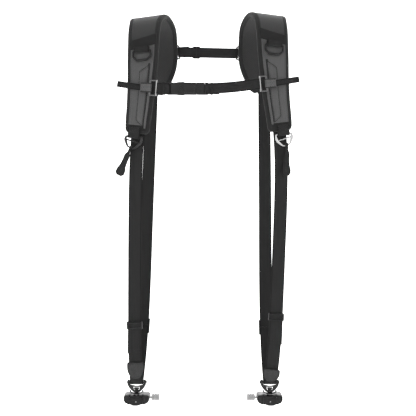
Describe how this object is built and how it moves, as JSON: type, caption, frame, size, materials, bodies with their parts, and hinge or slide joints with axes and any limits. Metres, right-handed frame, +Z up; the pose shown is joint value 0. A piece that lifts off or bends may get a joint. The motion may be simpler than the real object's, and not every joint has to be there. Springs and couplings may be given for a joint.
{
  "type": "camera strap",
  "caption": "Double shoulder camera harness with padded shoulder arches, chest and back straps, and a swivelling quick-release clamp hanging on each side.",
  "frame": {"origin": "midway between the two shoulder pads at the height of their undersides, where the harness rests on the shoulders", "axes": "+X to the right as a viewer in front sees it, +Y towards the wearer's back, +Z up"},
  "size_m": [0.3378, 0.1906, 0.7515],
  "materials": {
    "pad_mesh": "matt open mesh",
    "pocket_fabric": "matt woven",
    "band_fabric": "matt woven",
    "webbing": "woven webbing, slight sheen",
    "grey_webbing": "woven webbing",
    "leather": "grained, matt",
    "black_plastic": "moulded, fine texture",
    "steel": "plated wire",
    "dark_steel": "dark plated",
    "black_aluminium": "black anodised",
    "silver_aluminium": "clear anodised, knurled"
  },
  "bodies": {
    "harness": {"left_pad": "pad_mesh", "left_pocket": "pocket_fabric", "left_band": "band_fabric", "left_d_tab": "webbing", "left_ring_webbing": "webbing", "left_pad_ring": "steel", "left_lanyard": "webbing", "left_main_strap": "webbing", "left_strap_tail": "webbing", "left_front_slider": "black_plastic", "left_rear_slider": "black_plastic", "left_tab": "leather", "left_chest_anchor": "webbing", "left_chest_tab": "grey_webbing", "left_chest_loop": "steel", "left_back_clip": "black_plastic", "left_back_tab": "webbing", "right_pad": "pad_mesh", "right_pocket": "pocket_fabric", "right_band": "band_fabric", "right_d_tab": "webbing", "right_ring_webbing": "webbing", "right_pad_ring": "steel", "right_lanyard": "webbing", "right_main_strap": "webbing", "right_strap_tail": "webbing", "right_front_slider": "black_plastic", "right_rear_slider": "black_plastic", "right_tab": "leather", "right_chest_anchor": "webbing", "right_chest_tab": "grey_webbing", "right_chest_loop": "steel", "right_back_clip": "black_plastic", "right_back_tab": "webbing", "chest_strap_left": "webbing", "chest_strap_right": "webbing", "buckle_socket": "black_plastic", "buckle_plug": "black_plastic", "back_strap": "webbing", "back_slider": "black_plastic"},
    "left_link": {"left_shackle": "dark_steel", "left_shackle_pin": "dark_steel"},
    "left_yoke": {"left_yoke": "black_aluminium"},
    "left_clamp": {"left_plate": "silver_aluminium", "left_clamp": "black_aluminium"},
    "left_jaw": {"left_jaw": "black_aluminium"},
    "left_knob": {"left_knob": "silver_aluminium"},
    "left_d_ring": {"left_d_ring": "black_plastic"},
    "right_link": {"right_shackle": "dark_steel", "right_shackle_pin": "dark_steel"},
    "right_yoke": {"right_yoke": "black_aluminium"},
    "right_clamp": {"right_plate": "silver_aluminium", "right_clamp": "black_aluminium"},
    "right_jaw": {"right_jaw": "black_aluminium"},
    "right_knob": {"right_knob": "silver_aluminium"},
    "right_d_ring": {"right_d_ring": "black_plastic"}
  },
  "joints": [
    {"name": "left_d_ring_hinge", "type": "hinge", "parent": "harness", "child": "left_d_ring", "pos_m": [-0.12033, -0.0854, -0.07869], "axis": [-0.9786, 0.1907, -0.0775], "range_deg": [0, 95]},
    {"name": "left_link_hinge", "type": "hinge", "parent": "harness", "child": "left_link", "pos_m": [-0.137, 0, -0.6976], "axis": [1, 0, 0], "range_deg": [-60, 60]},
    {"name": "left_yoke_hinge", "type": "hinge", "parent": "left_link", "child": "left_yoke", "pos_m": [-0.137, 0, -0.7152], "axis": [1, 0, 0], "range_deg": [-30, 30]},
    {"name": "left_swivel", "type": "hinge", "parent": "left_yoke", "child": "left_clamp", "pos_m": [-0.137, 0, -0.7152], "axis": [0, 0, 1], "continuous": true},
    {"name": "left_jaw_slide", "type": "slide", "parent": "left_clamp", "child": "left_jaw", "axis": [1, 0, 0], "range_m": [0, 0.003]},
    {"name": "left_knob_turn", "type": "hinge", "parent": "left_jaw", "child": "left_knob", "pos_m": [-0.137, 0, -0.727], "axis": [1, 0, 0], "range_deg": [-5, 1085]},
    {"name": "right_d_ring_hinge", "type": "hinge", "parent": "harness", "child": "right_d_ring", "pos_m": [0.12043, -0.08464, -0.06804], "axis": [-0.9784, -0.1905, 0.0797], "range_deg": [0, 95]},
    {"name": "right_link_hinge", "type": "hinge", "parent": "harness", "child": "right_link", "pos_m": [0.1185, 0, -0.6976], "axis": [1, 0, 0], "range_deg": [-60, 60]},
    {"name": "right_yoke_hinge", "type": "hinge", "parent": "right_link", "child": "right_yoke", "pos_m": [0.1185, 0, -0.7152], "axis": [1, 0, 0], "range_deg": [-30, 30]},
    {"name": "right_swivel", "type": "hinge", "parent": "right_yoke", "child": "right_clamp", "pos_m": [0.1185, 0, -0.7152], "axis": [0, 0, 1], "continuous": true},
    {"name": "right_jaw_slide", "type": "slide", "parent": "right_clamp", "child": "right_jaw", "axis": [-1, 0, 0], "range_m": [0, 0.003]},
    {"name": "right_knob_turn", "type": "hinge", "parent": "right_jaw", "child": "right_knob", "pos_m": [0.1185, 0, -0.727], "axis": [-1, 0, 0], "range_deg": [-5, 1085]}
  ],
  "couplings": [
    {"joint": "left_knob_turn", "follows": "left_jaw_slide", "rad_per_m": 6283},
    {"joint": "right_knob_turn", "follows": "right_jaw_slide", "rad_per_m": 6283}
  ]
}
